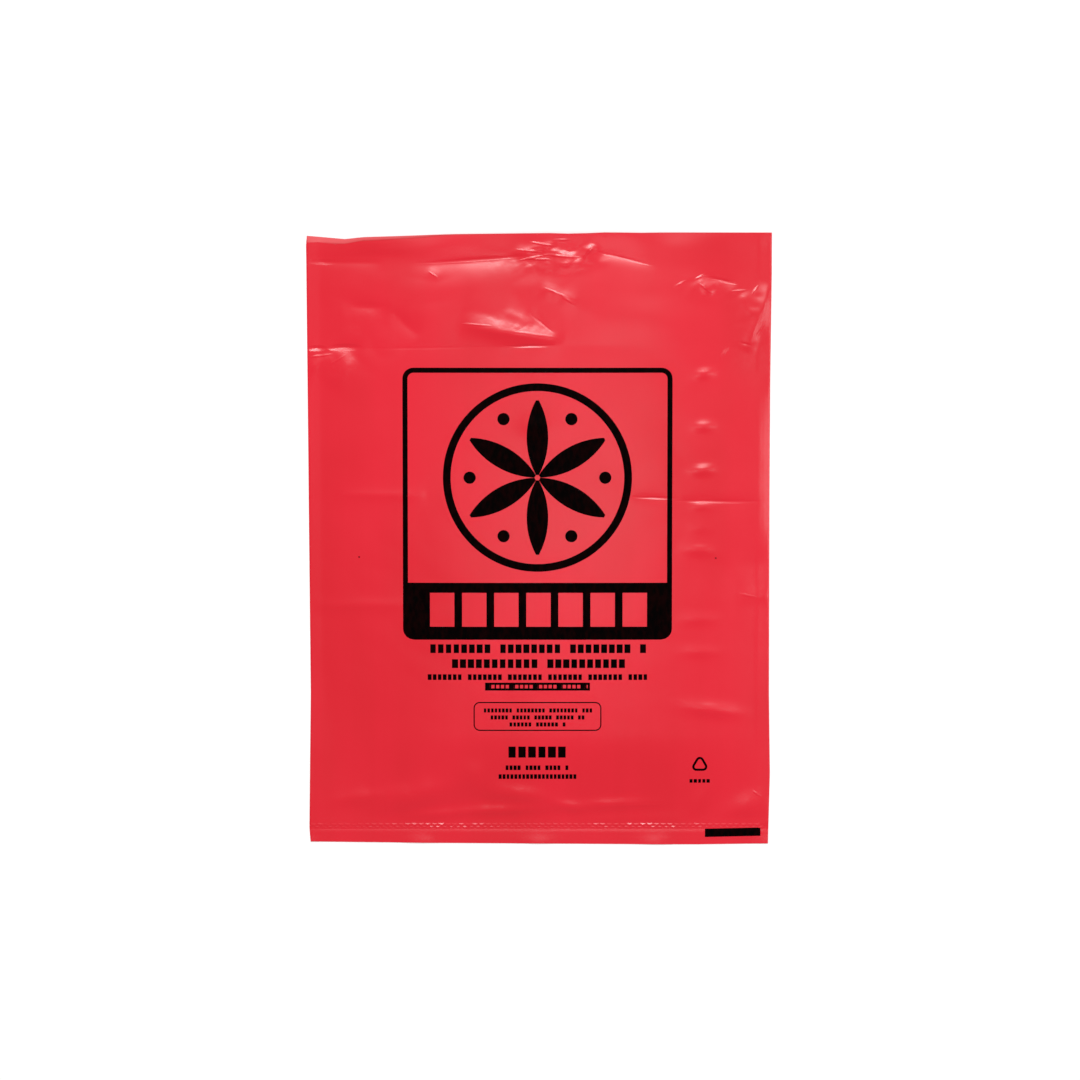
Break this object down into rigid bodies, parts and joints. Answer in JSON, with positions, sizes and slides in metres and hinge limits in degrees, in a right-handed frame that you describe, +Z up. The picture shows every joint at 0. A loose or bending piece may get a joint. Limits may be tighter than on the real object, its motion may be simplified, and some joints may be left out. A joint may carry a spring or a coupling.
{
  "type": "biohazard waste bag",
  "caption": "Empty red film waste bag lying flat: a flattened tube with side folds, a heat seal across its lower end and an open mouth.",
  "frame": {"origin": "middle of the bag's bounding box at the surface it lies on", "axes": "+Y along the bag from the sealed lower end to the mouth, +X across it to the right of the printed front, +Z up through the front layer"},
  "size_m": [0.45, 0.6, 0.0106],
  "materials": {
    "red_film": "semi-gloss",
    "black_ink": "satin"
  },
  "bodies": {
    "root": {"bag_film": "red_film"}
  },
  "joints": []
}
